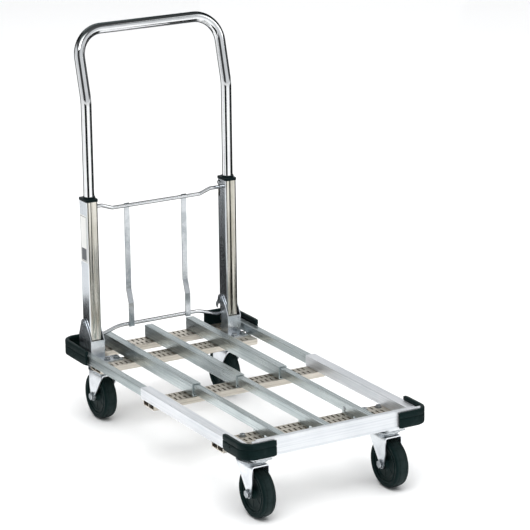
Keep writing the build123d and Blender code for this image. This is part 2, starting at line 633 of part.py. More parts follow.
def caster_fork(outward):
    """A pressed fork at the swivel axis; the wheel is set towards +Y when outward is 1."""
    crown = block((-19.5, 19.5), (-30.0, 31.0), (104.0, 107.0))
    crown = fillet(crown.edges().filter_by(Axis.Z), 9.0)
    fork = crown + Pos(0, 0, 108.3) * Cone(RACE_NECK_RADIUS + 1.0, RACE_NECK_RADIUS - 1.0, 3.0)
    fork += rod_z(0, 0, (107.0, 125.0), KINGPIN_RADIUS)
    fork += rod_z(0, 0, (CROSS_BOTTOM + 0.3, 125.6), 9.0)
    for inner_x in (-19.5, 17.0):
        span = (inner_x, inner_x + 2.5)
        leg = side_plate(
            [
                (-21.0, 107.0),
                (-28.0, 101.0),
                (CASTER_TRAIL - 9.5, WHEEL_RADIUS + 2),
                (CASTER_TRAIL, WHEEL_RADIUS - 1),
                (CASTER_TRAIL + 9.5, WHEEL_RADIUS + 2),
                (30.0, 74.0),
                (30.0, 101.0),
                (22.0, 107.0),
            ],
            span,
        )
        leg += rod_x(span, CASTER_TRAIL, WHEEL_RADIUS, 9.8)
        fork += leg
    fork -= rod_x((-30.0, 30.0), CASTER_TRAIL, WHEEL_RADIUS, AXLE_RADIUS + 0.02)
    return fork if outward > 0 else mirror(fork, about=Plane.XZ)


def caster_axle():
    """The axle bolt, its nut and the washers outside the fork, centred on the wheel."""
    axle = rod_x((-24.5, 27.5), 0, 0, AXLE_RADIUS)
    for span in ((-25.5, -20.7), (20.7, 25.5)):
        nut = Pos(span[0], 0, 0) * Rot(0, 90, 0) * extrude(RegularPolygon(8.4, 6), span[1] - span[0])
        axle += chamfer(nut.faces().sort_by(Axis.X)[0].edges() + nut.faces().sort_by(Axis.X)[-1].edges(), 0.7)
    for span in ((-20.7, -19.5), (19.5, 20.7)):
        axle += rod_x(span, 0, 0, 9.4)
    return axle


def wheel_ring(points):
    """A body of revolution about the wheel's axle, from (x, radius) points."""
    outline = Plane.XY * Polyline(*points, close=True)
    return revolve(make_face(outline), Axis.X, 360)


def wheel_tyre():
    """A solid rubber tyre with a crowned tread and rounded shoulders."""
    half = TYRE_WIDTH / 2
    tread = ThreePointArc((-half + 3, 48.2), (0, WHEEL_RADIUS), (half - 3, 48.2))
    left = ThreePointArc((-half, 44.6), (-half + 0.9, 47.1), (-half + 3, 48.2))
    right = ThreePointArc((half - 3, 48.2), (half - 0.9, 47.1), (half, 44.6))
    base = [(half, 44.6), (half, 37.0), (half - 3, 35.0), (3 - half, 35.0), (-half, 37.0), (-half, 44.6)]
    sides = Polyline(*base)
    face = make_face(Curve() + [tread, left, right, sides])
    return revolve(face, Axis.X, 360)


def wheel_hub():
    """The wheel centre: rim, dished web and a long boss that turns on the axle."""
    rim = TYRE_WIDTH / 2 - 3
    bore = AXLE_RADIUS + RUNNING_GAP
    return wheel_ring(
        [
            (-16.6, bore),
            (-16.6, 10.0),
            (-9.0, 13.0),
            (-5.0, 29.0),
            (-rim, 31.0),
            (-rim, 35.0),
            (rim, 35.0),
            (rim, 31.0),
            (5.0, 29.0),
            (9.0, 13.0),
            (16.6, 10.0),
            (16.6, bore),
        ]
    )


def casters():
    """Four swivel casters and the plates they hang from."""
    tyre = wheel_tyre()
    hub = wheel_hub()
    axle = caster_axle()
    for end, centre_y, outward, outline, bolts in (
        ("front", CASTER_FRONT_Y, -1, FRONT_PLATE_OUTLINE, FRONT_PLATE_BOLTS + CORNER_BLOCK_BOLTS),
        ("rear", CASTER_REAR_Y, 1, REAR_PLATE_OUTLINE, BRACKET_BOLTS + REAR_PLATE_BOLTS),
    ):
        fork = caster_fork(outward)
        save(f"{end}_caster_plates", both_sides([caster_plate(centre_y, outline, bolts)]))
        for side, x in (("left", -CASTER_X), ("right", CASTER_X)):
            place = Pos(x, centre_y, 0)
            wheel_place = Pos(x, centre_y + outward * CASTER_TRAIL, WHEEL_RADIUS)
            save(f"caster_fork_{end}_{side}", place * fork)
            save(f"caster_axle_{end}_{side}", wheel_place * axle)
            save(f"wheel_tyre_{end}_{side}", wheel_place * tyre)
            save(f"wheel_hub_{end}_{side}", wheel_place * hub)


side_rails()
deck_bars()
cross_members()
front_end_rail()
bumpers()
fasteners()
hinge()
posts()
handle()
release_frame()
casters()
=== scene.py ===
import math

import bmesh
import bpy
from mathutils import Matrix, Vector


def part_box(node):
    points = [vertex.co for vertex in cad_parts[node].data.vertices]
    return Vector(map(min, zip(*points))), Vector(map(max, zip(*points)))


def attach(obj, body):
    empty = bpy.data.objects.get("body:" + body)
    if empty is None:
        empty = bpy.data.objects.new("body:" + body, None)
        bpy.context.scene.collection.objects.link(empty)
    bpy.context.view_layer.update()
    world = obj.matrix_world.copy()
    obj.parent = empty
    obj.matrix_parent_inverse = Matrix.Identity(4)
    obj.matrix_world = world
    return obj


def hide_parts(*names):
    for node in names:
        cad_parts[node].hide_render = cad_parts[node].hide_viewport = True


# Folding luggage cart. Metres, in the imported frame: X across, Y towards the handle, Z up.

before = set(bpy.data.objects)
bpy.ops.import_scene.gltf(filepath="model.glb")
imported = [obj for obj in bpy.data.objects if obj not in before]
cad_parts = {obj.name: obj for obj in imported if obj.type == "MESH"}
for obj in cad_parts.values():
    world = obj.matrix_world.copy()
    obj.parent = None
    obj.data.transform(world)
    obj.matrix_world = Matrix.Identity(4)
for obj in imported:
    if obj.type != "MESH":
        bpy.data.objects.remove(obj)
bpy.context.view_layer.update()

MM = 0.001
SIDES = ("left", "right")
BARS = ("left", "middle", "right")

# Driving sizes. Shapes are in millimetres until add_piece turns them into metres.
WHEEL_RADIUS = 50.0
HUB_BORE = 5.06
CASTER_X = 148.0
FRONT_CASTER_Y = -315.0
REAR_CASTER_Y = 303.0
TRAIL = 16.0

DECK_HALF_WIDTH = 206.0
DECK_HALF_LENGTH = 386.0
CORNER_RADIUS = 30.0
BUMPER_START_X = 136.0
BUMPER_BOTTOM = 136.2
BUMPER_TOP = 168.0
FRONT_BUMPER_REACH = 84.0
REAR_BUMPER_REACH = 115.0

LEG_X = 162.3
LEG_Y = 318.0
LEG_BOTTOM = 408.0
BEND_HEIGHT = 680.0
HANDLE_HEIGHT = 817.0
HANDLE_LEAN = math.radians(15.0)
HANDLE_RADIUS = 11.0
HANDLE_BORE = 9.5

ROD_Y = 333.0
ROD_RADIUS = 3.8
ROD_HALF_LENGTH = 152.5


# ---- Node materials ----
def new_material(name):
    """An empty material with a Principled shader joined to its output."""
    material = bpy.data.materials.new(name)
    material.use_nodes = True
    nodes = material.node_tree.nodes
    nodes.clear()
    shader = nodes.new("ShaderNodeBsdfPrincipled")
    output = nodes.new("ShaderNodeOutputMaterial")
    material.node_tree.links.new(shader.outputs["BSDF"], output.inputs["Surface"])
    return material, material.node_tree, shader


def object_coords(tree, stretch=(1.0, 1.0, 1.0)):
    """Object coordinates, scaled along each axis."""
    coords = tree.nodes.new("ShaderNodeTexCoord")
    mapping = tree.nodes.new("ShaderNodeMapping")
    mapping.inputs["Scale"].default_value = stretch
    tree.links.new(coords.outputs["Object"], mapping.inputs["Vector"])
    return mapping.outputs["Vector"]


def noise(tree, vector, scale, detail=4.0, roughness=0.55):
    """A noise pattern's value."""
    node = tree.nodes.new("ShaderNodeTexNoise")
    node.inputs["Scale"].default_value = scale
    node.inputs["Detail"].default_value = detail
    node.inputs["Roughness"].default_value = roughness
    tree.links.new(vector, node.inputs["Vector"])
    return node.outputs["Fac"]


def remap(tree, value, low, high, from_low=0.0, from_high=1.0, smooth=False):
    """A value moved from one range to another, and kept inside it."""
    node = tree.nodes.new("ShaderNodeMapRange")
    if smooth:
        node.interpolation_type = "SMOOTHSTEP"
    node.inputs["From Min"].default_value = from_low
    node.inputs["From Max"].default_value = from_high
    node.inputs["To Min"].default_value = low
    node.inputs["To Max"].default_value = high
    tree.links.new(value, node.inputs["Value"])
    return node.outputs["Result"]


def arithmetic(tree, operation, a, b=None):
    """One Math node; a and b are sockets or numbers."""
    node = tree.nodes.new("ShaderNodeMath")
    node.operation = operation
    for index, value in enumerate((a, b)):
        if value is None:
            continue
        if isinstance(value, (int, float)):
            node.inputs[index].default_value = value
        else:
            tree.links.new(value, node.inputs[index])
    return node.outputs["Value"]


def mix_colours(tree, amount, first, second):
    """Two colours mixed by a value; each is a socket or an RGB triple."""
    first_colour, second_colour, mixed_colour = 6, 7, 2
    node = tree.nodes.new("ShaderNodeMix")
    node.data_type = "RGBA"
    tree.links.new(amount, node.inputs["Factor"])
    for socket, value in ((node.inputs[first_colour], first), (node.inputs[second_colour], second)):
        if isinstance(value, tuple):
            socket.default_value = (*value, 1.0)
        else:
            tree.links.new(value, socket)
    return node.outputs[mixed_colour]


def add_bump(tree, shader, height, strength, distance):
    """Surface relief from a height value."""
    bump = tree.nodes.new("ShaderNodeBump")
    bump.inputs["Strength"].default_value = strength
    bump.inputs["Distance"].default_value = distance
    tree.links.new(height, bump.inputs["Height"])
    tree.links.new(bump.outputs["Normal"], shader.inputs["Normal"])


def scaled(tree, value, share):
    """A value times a share."""
    return arithmetic(tree, "MULTIPLY", value, share)


def face_direction(tree):
    """The object-space normal, split into its axes."""
    coords = tree.nodes.new("ShaderNodeTexCoord")
    split = tree.nodes.new("ShaderNodeSeparateXYZ")
    tree.links.new(coords.outputs["Normal"], split.inputs["Vector"])
    return split.outputs


def painted_dark_rim(tree, shader, tint, rim):
    """The tint with painted shade where the metal turns away from the view: a dark rim colour, with a grey
    specular tint, stands in for dark surroundings; rim is (colour, start, stop).
    """
    dark, start, stop = rim
    facing = tree.nodes.new("ShaderNodeLayerWeight")
    facing.inputs["Blend"].default_value = 0.5
    painted_rim_mask = remap(tree, facing.outputs["Facing"], 0.0, 1.0, start, stop, smooth=True)
    shader.inputs["Specular Tint"].default_value = (0.35, 0.36, 0.37, 1.0)
    return mix_colours(tree, painted_rim_mask, tint, dark)


def metal(
    name, colour, shade, roughness, grain, scratch, streak,
    relief=0.25, mottle=9.0, rim=None, painted_side_shading=None, painted_top_shade=None,
):
    """Bare or plated metal with a drawn grain, broad die streaks, long scratches and soft staining.

    Grain, scratch and streak are the scales of three noises along each axis. The rim is painted shade,
    explained at the rim function above; the side colours are painted light and shade for faces that look
    along X, and the top colour is a painted dark reflection for faces that look up.
    """
    stain_share, streak_share, grain_share = 0.35, 0.50, 0.25
    stain_roughness, scratch_roughness = 0.05, 0.08
    scratch_depth = 0.8
    relief_height = 0.08 * MM
    material, tree, shader = new_material(name)
    fine = noise(tree, object_coords(tree, grain), 1.0, 5.0, 0.6)
    scratches = noise(tree, object_coords(tree, scratch), 1.0, 2.0, 0.5)
    lines = remap(tree, scratches, 0.0, 1.0, 0.66, 0.74, smooth=True)
    drawn = noise(tree, object_coords(tree, streak), 1.0, 3.0, 0.6)
    streaks = remap(tree, drawn, 0.0, 1.0, 0.42, 0.66, smooth=True)
    stains = noise(tree, object_coords(tree), mottle, 6.0, 0.62)
    patch = remap(tree, stains, 0.0, 1.0, 0.35, 0.70, smooth=True)

    tone = arithmetic(tree, "ADD", scaled(tree, patch, stain_share), scaled(tree, streaks, streak_share))
    tone = arithmetic(tree, "ADD", tone, remap(tree, fine, 0.0, grain_share, 0.3, 0.7))
    tint = mix_colours(tree, tone, colour, shade)
    # Painted reflection: faces that look up turn to a dark colour.
    if painted_top_shade:
        painted_top_mask = remap(tree, face_direction(tree)["Z"], 0.0, 1.0, 0.36, 0.62, smooth=True)
        tint = mix_colours(tree, painted_top_mask, tint, painted_top_shade)
    # Painted light and shade: faces that look along X take a side colour, lighter on the posts and darker on
    # the brackets.
    if painted_side_shading:
        across = arithmetic(tree, "ABSOLUTE", face_direction(tree)["X"])
        painted_side_mask = remap(tree, across, 0.0, 1.0, 0.6, 0.95, smooth=True)
        tint = mix_colours(tree, painted_side_mask, tint, mix_colours(tree, tone, *painted_side_shading))
    # Painted shade: a dark rim where the surface turns away from the view.
    if rim:
        tint = painted_dark_rim(tree, shader, tint, rim)
    tree.links.new(tint, shader.inputs["Base Color"])
    shader.inputs["Metallic"].default_value = 1.0

    rough = remap(tree, fine, roughness[0], roughness[1], 0.3, 0.7)
    rough = arithmetic(tree, "ADD", rough, scaled(tree, patch, stain_roughness))
    rough = arithmetic(tree, "ADD", rough, scaled(tree, lines, scratch_roughness))
    tree.links.new(rough, shader.inputs["Roughness"])
    height = arithmetic(tree, "SUBTRACT", fine, scaled(tree, lines, scratch_depth))
    add_bump(tree, shader, height, relief, relief_height)
    return material


def distance_from_x_axis(tree, vector):
    """How far a point is from the object's X axis, such as a wheel's axle."""
    split = tree.nodes.new("ShaderNodeSeparateXYZ")
    tree.links.new(vector, split.inputs["Vector"])
    squares = [arithmetic(tree, "MULTIPLY", split.outputs[axis], split.outputs[axis]) for axis in ("Y", "Z")]
    return arithmetic(tree, "SQRT", arithmetic(tree, "ADD", *squares))


def rubber(name, colour, dusty, roughness, grain_scale, relief, worn_radius=None):
    """Moulded black rubber or plastic with a fine pebble and pale scuffs.

    A tyre also wears at its tread, between the two radii, in metres.
    """
    material, tree, shader = new_material(name)
    plain = object_coords(tree)
    pebble = noise(tree, plain, grain_scale, 3.0, 0.6)
    smear = noise(tree, plain, 26.0, 6.0, 0.68)
    scuff = remap(tree, smear, 0.0, 0.75, 0.52, 0.80, smooth=True)
    if worn_radius:
        reach = distance_from_x_axis(tree, plain)
        tread = remap(tree, reach, 0.0, 1.0, worn_radius[0], worn_radius[1], smooth=True)
        patchy = remap(tree, noise(tree, plain, 60.0, 5.0, 0.7), 0.25, 1.0, 0.3, 0.7)
        scuff = arithmetic(tree, "MAXIMUM", scuff, arithmetic(tree, "MULTIPLY", tread, patchy))
    tree.links.new(mix_colours(tree, scuff, colour, dusty), shader.inputs["Base Color"])
    tree.links.new(remap(tree, pebble, roughness[0], roughness[1], 0.3, 0.7), shader.inputs["Roughness"])
    shader.inputs["Specular IOR Level"].default_value = 0.16
    shader.inputs["Specular Tint"].default_value = (0.30, 0.80, 0.80, 1.0)
    add_bump(tree, shader, pebble, relief, 0.2 * MM)
    return material


def label_material(name):
    """A blank off-white label: a thin dark rule just inside its edge and one plain dark block low down."""
    rule_inset, rule_half_width = 2.6 * MM, 0.6 * MM
    block_share, block_inset = 0.30, 4.6 * MM
    material, tree, shader = new_material(name)
    plain = object_coords(tree)
    low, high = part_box("post_label")
    split = tree.nodes.new("ShaderNodeSeparateXYZ")
    tree.links.new(plain, split.inputs["Vector"])
    edge = None
    for axis, index in (("Y", 1), ("Z", 2)):
        middle = (low[index] + high[index]) / 2
        half = (high[index] - low[index]) / 2
        offset = arithmetic(tree, "ABSOLUTE", arithmetic(tree, "SUBTRACT", split.outputs[axis], middle))
        inset = arithmetic(tree, "SUBTRACT", half, offset)
        edge = inset if edge is None else arithmetic(tree, "MINIMUM", edge, inset)
    rule = arithmetic(tree, "COMPARE", edge, rule_inset)
    compare_margin = rule.node.inputs[2]
    compare_margin.default_value = rule_half_width
    block_top = low[2] + block_share * (high[2] - low[2])
    below = arithmetic(tree, "LESS_THAN", split.outputs["Z"], block_top)
    inside = arithmetic(tree, "GREATER_THAN", edge, block_inset)
    printed = arithmetic(tree, "MAXIMUM", rule, arithmetic(tree, "MULTIPLY", below, inside))
    paper = mix_colours(tree, noise(tree, plain, 40.0, 5.0), (0.93, 0.93, 0.91), (0.84, 0.84, 0.81))
    tree.links.new(mix_colours(tree, printed, paper, (0.10, 0.11, 0.12)), shader.inputs["Base Color"])
    tree.links.new(remap(tree, noise(tree, plain, 300.0), 0.30, 0.45), shader.inputs["Roughness"])
    add_bump(tree, shader, noise(tree, plain, 900.0), 0.1, 0.1 * MM)
    return material


# Scales of the grain, the scratches and the streaks, for metal drawn along one axis and for plated metal.
ALONG_Y = ((1500.0, 14.0, 1500.0), (2600.0, 5.0, 2600.0), (330.0, 3.0, 330.0))
ALONG_X = ((14.0, 1500.0, 1500.0), (5.0, 2600.0, 2600.0), (3.0, 330.0, 330.0))
ALONG_Z = ((1500.0, 1500.0, 14.0), (2600.0, 2600.0, 5.0), (260.0, 260.0, 1.6))
ALL_WAYS = ((420.0, 420.0, 420.0), (900.0, 60.0, 900.0), (40.0, 40.0, 40.0))

bright = metal("bright_aluminium", (0.90, 0.91, 0.93), (0.72, 0.75, 0.78), (0.40, 0.54), *ALONG_Y)
bright_x = metal("bright_end_rail", (0.86, 0.88, 0.90), (0.70, 0.73, 0.76), (0.45, 0.58), *ALONG_X)
satin = metal("satin_aluminium", (0.64, 0.69, 0.69), (0.38, 0.44, 0.45), (0.22, 0.36), *ALONG_Y)
warm = metal("warm_aluminium", (0.78, 0.73, 0.65), (0.50, 0.46, 0.39), (0.34, 0.50), *ALONG_X)
# Polished aluminium with painted light and shade: lighter faces along X and a dark rim at grazing angles.
polished = metal(
    "polished_aluminium", (0.74, 0.72, 0.66), (0.34, 0.32, 0.26), (0.09, 0.16), *ALONG_Z, relief=0.12,
    rim=((0.05, 0.06, 0.06), 0.56, 0.80), painted_side_shading=((0.80, 0.83, 0.86), (0.52, 0.56, 0.60)),
)
# Chrome with painted reflection: a dark rim at grazing angles and dark faces that look up.
chrome = metal(
    "chrome", (0.80, 0.81, 0.82), (0.70, 0.71, 0.72), (0.03, 0.07), *ALL_WAYS, relief=0.02, mottle=24.0,
    rim=((0.03, 0.04, 0.04), 0.40, 0.66), painted_top_shade=(0.10, 0.11, 0.11),
)
# Plated steel with painted shade: a dark rim at grazing angles.
plated = metal(
    "plated_steel", (0.60, 0.62, 0.64), (0.32, 0.35, 0.37), (0.09, 0.16), *ALL_WAYS, relief=0.06,
    rim=((0.04, 0.05, 0.05), 0.56, 0.80),
)
# Rod steel with painted shade: a wide dark rim at grazing angles, for dark outlines.
rod_steel = metal(
    "rod_steel", (0.88, 0.89, 0.90), (0.66, 0.68, 0.70), (0.09, 0.16), *ALL_WAYS, relief=0.06,
    rim=((0.04, 0.05, 0.05), 0.20, 0.46),
)
zinc = metal(
    "zinc_steel", (0.86, 0.89, 0.92), (0.64, 0.67, 0.70), (0.24, 0.38), *ALL_WAYS, relief=0.15, mottle=30.0
)
# Bracket zinc is zinc with painted shade: darker faces along X.
bracket_zinc = metal(
    "bracket_zinc", (0.86, 0.89, 0.92), (0.62, 0.66, 0.70), (0.22, 0.34), *ALL_WAYS, relief=0.15, mottle=30.0,
    painted_side_shading=((0.52, 0.55, 0.58), (0.28, 0.31, 0.34)),
)
# Dull zinc with painted shade: a dark rim at grazing angles.
dull_zinc = metal(
    "dull_zinc", (0.58, 0.61, 0.63), (0.30, 0.33, 0.35), (0.20, 0.32), *ALL_WAYS, relief=0.15, mottle=60.0,
    rim=((0.08, 0.09, 0.10), 0.56, 0.80),
)
black_rubber = rubber("black_rubber", (0.004, 0.008, 0.008), (0.024, 0.029, 0.030), (0.46, 0.62), 900.0, 0.25)
tyre_rubber = rubber(
    "tyre_rubber", (0.003, 0.007, 0.007), (0.020, 0.026, 0.026), (0.52, 0.70), 700.0, 0.25,
    worn_radius=((WHEEL_RADIUS - 2.5) * MM, (WHEEL_RADIUS - 0.8) * MM),
)
black_plastic = rubber(
    "black_plastic", (0.005, 0.007, 0.008), (0.026, 0.029, 0.031), (0.34, 0.48), 1200.0, 0.15
)
hub_plastic = rubber("hub_plastic", (0.003, 0.007, 0.007), (0.016, 0.021, 0.021), (0.42, 0.56), 800.0, 0.2)
blank_label = label_material("label")


# ---- Meshes ----
def add_piece(name, bm, material, body, replaces, place=(0.0, 0.0, 0.0), sharp=32.0):
    """Turn a bmesh, in millimetres, into a shaded piece that rides on a body in place of CAD nodes."""
    bmesh.ops.recalc_face_normals(bm, faces=bm.faces)
    bmesh.ops.scale(bm, vec=(MM, MM, MM), verts=bm.verts)
    mesh = bpy.data.meshes.new(name)
    bm.to_mesh(mesh)
    bm.free()
    mesh.polygons.foreach_set("use_smooth", [True] * len(mesh.polygons))
    mesh.set_sharp_from_angle(angle=math.radians(sharp))
    mesh.materials.append(material)
    piece = bpy.data.objects.new(name, mesh)
    bpy.context.scene.collection.objects.link(piece)
    piece.location = Vector(place) * MM
    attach(piece, body)
    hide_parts(*replaces)


def skin_rings(bm, rings, closed_path=False):
    """Join rings of points, each with as many points, into a skin; an open path gets a cap at each end."""
    rows = [[bm.verts.new(point) for point in ring] for ring in rings]
    count = len(rows[0])
    pairs = list(zip(rows, rows[1:]))
    if closed_path:
        pairs.append((rows[-1], rows[0]))
    for first, second in pairs:
        for index in range(count):
            after = (index + 1) % count
            bm.faces.new((first[index], first[after], second[after], second[index]))
    if not closed_path:
        bm.faces.new(rows[0][::-1])
        bm.faces.new(rows[-1])


def lathe(bm, profile, segments, upright=False):
    """Turn a closed outline of (along, radius) points about the X axis, or about Z if upright."""
    rings = []
    for step in range(segments):
        angle = 2 * math.pi * step / segments
        first, second = math.cos(angle), math.sin(angle)
        if upright:
            rings.append([(radius * first, radius * second, along) for along, radius in profile])
        else:
            rings.append([(along, radius * first, radius * second) for along, radius in profile])
    skin_rings(bm, rings, closed_path=True)


def straight_run(start, stop):
    """Points from a start, left out, to a stop, in equal steps: one, or as many as stay above 40 mm."""
    shortest_step = 40.0
    steps = max(1, int((stop - start).length / shortest_step))
    return [start.lerp(stop, (index + 1) / steps) for index in range(steps)]


def rounded_route(corners, radii, arc_steps):
    """Straight runs joined by tangent arcs, as a list of points."""
    points = [Vector(corners[0])]
    for before, corner, after, radius in zip(corners, corners[1:], corners[2:], radii):
        corner = Vector(corner)
        into = (corner - Vector(before)).normalized()
        out = (Vector(after) - corner).normalized()
        turn = into.angle(out)
        cut = radius * math.tan(turn / 2)
        start = corner - into * cut
        towards = (out - into).normalized()
        centre = corner + towards * (radius / math.cos(turn / 2))
        axis = into.cross(out).normalized()
        points += straight_run(points[-1], start)
        for index in range(1, arc_steps + 1):
            spin = Matrix.Rotation(turn * index / arc_steps, 3, axis)
            points.append(centre + spin @ (start - centre))
    return points + straight_run(points[-1], Vector(corners[-1]))


def tube(bm, points, radius, facets, bore=None):
    """A round tube or rod along a route, with slightly rounded ends."""
    tangent = (points[1] - points[0]).normalized()
    normal = tangent.orthogonal().normalized()
    rings = []
    for index, point in enumerate(points):
        if index:
            ahead = points[min(index + 1, len(points) - 1)]
            new_tangent = (ahead - points[index - 1]).normalized()
            normal = (tangent.rotation_difference(new_tangent) @ normal).normalized()
            tangent = new_tangent
        side = tangent.cross(normal)
        rings.append((point, tangent, normal, side))

    def ring_of(place, shift, size):
        """A ring of a given size, moved along the route from one of its places."""
        point, along, first, second = place
        turns = [2 * math.pi * k / facets for k in range(facets)]
        return [point + along * shift + (first * math.cos(t) + second * math.sin(t)) * size for t in turns]

    edge = min(0.8, radius * 0.15)
    skin = [ring_of(rings[0], 0.0, radius - edge), ring_of(rings[0], edge, radius)]
    skin += [ring_of(place, 0.0, radius) for place in rings[1:-1]]
    skin += [ring_of(rings[-1], -edge, radius), ring_of(rings[-1], 0.0, radius - edge)]
    if bore:
        skin += [ring_of(place, 0.0, bore) for place in reversed(rings)]
        skin_rings(bm, skin, closed_path=True)
    else:
        skin_rings(bm, skin)


def soft_box(bm, low, high, edge):
    """A box between two corners with rounded edges."""
    low, high = Vector(low), Vector(high)
    made = bmesh.ops.create_cube(bm, size=1.0)
    bmesh.ops.scale(bm, vec=high - low, verts=made["verts"])
    bmesh.ops.translate(bm, vec=(low + high) / 2, verts=made["verts"])
    edges = {e for v in made["verts"] for e in v.link_edges}
    bmesh.ops.bevel(bm, geom=list(edges), offset=edge, segments=2, profile=0.6, affect="EDGES")


def mirrored(bm):
    """Flip a bmesh to the other side of the cart."""
    bmesh.ops.scale(bm, vec=(-1.0, 1.0, 1.0), verts=bm.verts)
    bmesh.ops.reverse_faces(bm, faces=bm.faces)


# ---- Tyres and hubs ----
# Each caster's swivel axis, and the way along Y in which its wheel trails.
CASTERS = {
    "front_left": (-CASTER_X, FRONT_CASTER_Y, -1.0),
    "front_right": (CASTER_X, FRONT_CASTER_Y, -1.0),
    "rear_left": (-CASTER_X, REAR_CASTER_Y, 1.0),
    "rear_right": (CASTER_X, REAR_CASTER_Y, 1.0),
}


def both_sides(half):
    """An outline of (along, radius) points joined to its mirror image, which ends it."""
    return half + [(-along, radius) for along, radius in reversed(half) if along]


def tyre_mesh():
    """Solid tyre: beaded sidewalls, rounded shoulders and a crowned tread with two fine grooves."""
    bead = [(10.9, 35.0), (12.6, 35.4), (13.6, 36.4), (13.9, 37.4), (13.4, 38.4), (12.9, 38.9), (12.8, 39.6)]
    wall = [(13.2, 40.2), (13.7, 41.6), (14.0, 43.4), (14.0, 44.8), (13.7, 46.2), (12.9, 47.3), (11.6, 48.05)]
    groove = [(9.6, 48.6), (7.4, 49.15), (7.0, 48.5), (6.2, 48.5), (5.8, 49.45)]
    crown = [(3.0, 49.85), (0.0, WHEEL_RADIUS)]
    bm = bmesh.new()
    lathe(bm, both_sides(bead + wall + groove + crown), segments=128)
    return bm


def hub_mesh():
    """Moulded wheel centre: long boss, shallow web, six low ribs on each side and a lipped rim."""
    boss = [(16.6, HUB_BORE), (16.6, 9.0), (16.1, 9.7), (13.2, 10.6), (11.2, 12.0), (10.0, 14.4), (9.5, 17.0)]
    rim = [(9.3, 24.0), (9.4, 28.0), (9.9, 29.6), (10.5, 30.4), (10.9, 31.4), (11.0, 32.2), (11.0, 34.95)]
    ribs = 6
    rib_foot, rib_crest = 8.6, 10.1
    rib_start, rib_stop = 11.5, 30.2
    rib_half_width = 1.4
    bm = bmesh.new()
    lathe(bm, both_sides(boss + rim), segments=96)
    for side in (-1, 1):
        for index in range(ribs):
            rib = bmesh.new()
            near, far = sorted((side * rib_foot, side * rib_crest))
            soft_box(rib, (near, -rib_half_width, rib_start), (far, rib_half_width, rib_stop), edge=0.4)
            spin = Matrix.Rotation(2 * math.pi * index / ribs, 4, "X")
            bmesh.ops.transform(rib, matrix=spin, verts=rib.verts)
            spare = bpy.data.meshes.new("rib")
            rib.to_mesh(spare)
            rib.free()
            bm.from_mesh(spare)
            bpy.data.meshes.remove(spare)
    return bm


# ---- Caster forks ----
SHEET_HALF = 1.25
LEG_MIDDLE = 18.25
FORK_TOP = 105.5
FORK_BEND = 5.0
EAR_RADIUS = 9.8
EAR_TOP = 54.0


def fork_path():
    """The middle of the fork's sheet as (x, z) points: up one leg, over the crown and down the other."""
    heights = (40.3, 41.0, 42.5, 45.0, 48.0, 51.0, EAR_TOP, 58.0, 66.0, 74.0, 84.0, 92.0, 97.0)
    bend_steps = 6
    path = [(-LEG_MIDDLE, z) for z in heights]
    for step in range(bend_steps + 1):
        angle = math.pi / 2 * step / bend_steps
        x = -LEG_MIDDLE + FORK_BEND - FORK_BEND * math.cos(angle)
        path.append((x, FORK_TOP - FORK_BEND + FORK_BEND * math.sin(angle)))
    path += [(x, FORK_TOP) for x in (-9.0, -4.0)]
    return path + [(-x, z) for x, z in reversed(path)]


def fork_reach(x, z):
    """The sheet's two edges along Y: round ears at the axle, legs that sweep back, and a crown.

    The crown is a little wider in its middle.
    """
    ear_edge = 9.5
    sweep, sweep_height = 34.0, 47.0
    flare, flare_height = 4.5, 20.0
    rear_limit = -28.0
    crown_start, crown_half = 100.0, 9.0
    bulge, rear_share, front_share = 4.0, 0.3, 0.2
    if z < EAR_TOP:
        half = math.sqrt(max(EAR_RADIUS**2 - (z - WHEEL_RADIUS) ** 2, 0.3))
        return TRAIL - half, TRAIL + half
    rise = z - EAR_TOP
    rear = TRAIL - ear_edge - sweep * rise / sweep_height
    front = TRAIL + ear_edge + flare * min(rise / flare_height, 1.0)
    shoulder = 1.0
    if z > crown_start:
        shoulder = max(0.0, (abs(x) - crown_half) / (LEG_MIDDLE - crown_half))
    spread = bulge * (1.0 - shoulder)
    return max(rear, rear_limit) - spread * rear_share, front + spread * front_share


def fork_mesh(outward):
    """Pressed fork: one bent sheet with tapered legs, a raceway cup on its crown, and a kingpin."""
    columns = 9
    path = fork_path()
    rings = []
    for index, (x, z) in enumerate(path):
        before = Vector(path[max(index - 1, 0)])
        after = Vector(path[min(index + 1, len(path) - 1)])
        along = (after - before).normalized()
        normal = Vector((-along.y, along.x)) * SHEET_HALF
        low, high = fork_reach(x, z)
        ys = [low + (high - low) * k / (columns - 1) for k in range(columns)]
        outer = [(x + normal.x, y, z + normal.y) for y in ys]
        inner = [(x - normal.x, y, z - normal.y) for y in reversed(ys)]
        rings.append(outer + inner)
    bm = bmesh.new()
    skin_rings(bm, rings)
    corners = [e for e in bm.edges if e.is_manifold and e.calc_face_angle(0.0) > math.radians(50)]
    bmesh.ops.bevel(bm, geom=corners, offset=0.5, segments=2, profile=0.6, affect="EDGES")
    cup = [(104.3, 6.0), (109.4, 6.4), (109.7, 21.6), (109.0, 23.0)]
    cup += [(107.2, 24.6), (106.4, 24.8), (104.3, 20.0)]
    kingpin = [(107.0, 0.0), (107.0, 6.0), (124.6, 6.0), (125.0, 5.4), (125.0, 0.0)]
    lathe(bm, cup, segments=96, upright=True)
    lathe(bm, kingpin, segments=32, upright=True)
    if outward < 0:
        bmesh.ops.rotate(bm, cent=(0, 0, 0), matrix=Matrix.Rotation(math.pi, 3, "Z"), verts=bm.verts)
    bmesh.ops.remove_doubles(bm, verts=bm.verts, dist=0.001)
    return bm


